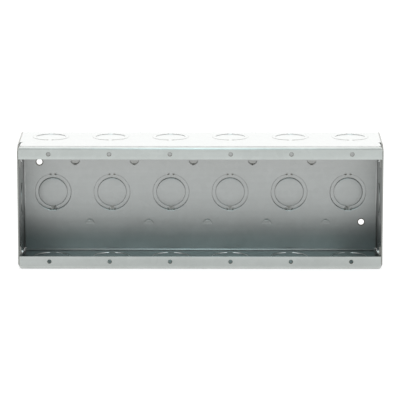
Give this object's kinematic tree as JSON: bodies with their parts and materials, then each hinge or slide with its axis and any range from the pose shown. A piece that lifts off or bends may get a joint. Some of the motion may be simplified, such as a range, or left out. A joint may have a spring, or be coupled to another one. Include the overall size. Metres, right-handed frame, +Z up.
{
  "type": "multi-gang box",
  "caption": "Long open-fronted galvanised steel wiring box folded from sheet, with in-turned front flanges for device screws and concentric knockouts in its walls.",
  "frame": {"origin": "centre of the bottom wall's outer face, the face the box stands on", "axes": "+X along the row of gangs, +Y from the open front to the back wall, +Z up"},
  "size_m": [0.2778, 0.0636, 0.0953],
  "materials": {
    "galvanised_steel": "zinc-coated, satin, faintly mottled"
  },
  "bodies": {
    "root": {"box": "galvanised_steel"}
  },
  "joints": []
}
